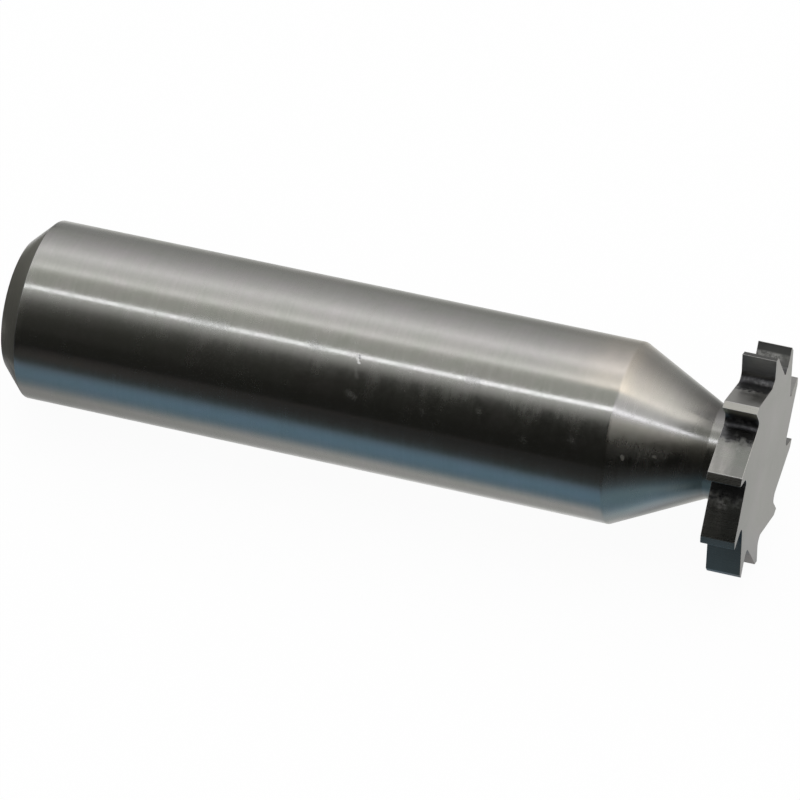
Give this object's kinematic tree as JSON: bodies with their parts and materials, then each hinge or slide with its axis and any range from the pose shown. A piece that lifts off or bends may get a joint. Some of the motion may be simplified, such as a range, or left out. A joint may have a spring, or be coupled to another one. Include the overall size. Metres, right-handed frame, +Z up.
{
  "type": "woodruff keyseat cutter",
  "caption": "Shank-type milling cutter for woodruff keyseats: straight round shank, cone and neck, and a narrow disc with straight teeth on its rim.",
  "frame": {"origin": "centre of the shank's flat end face", "axes": "+X along the cutter's axis, from the shank's end to the toothed disc; +Z up as it lies, with one gullet straight down between the two teeth that it lies on"},
  "size_m": [0.0538, 0.016, 0.0154],
  "materials": {
    "ground_steel": "ground high-speed steel, bright on the shank and satin on the sides of the disc"
  },
  "bodies": {
    "root": {"keyseat_cutter": "ground_steel"}
  },
  "joints": []
}
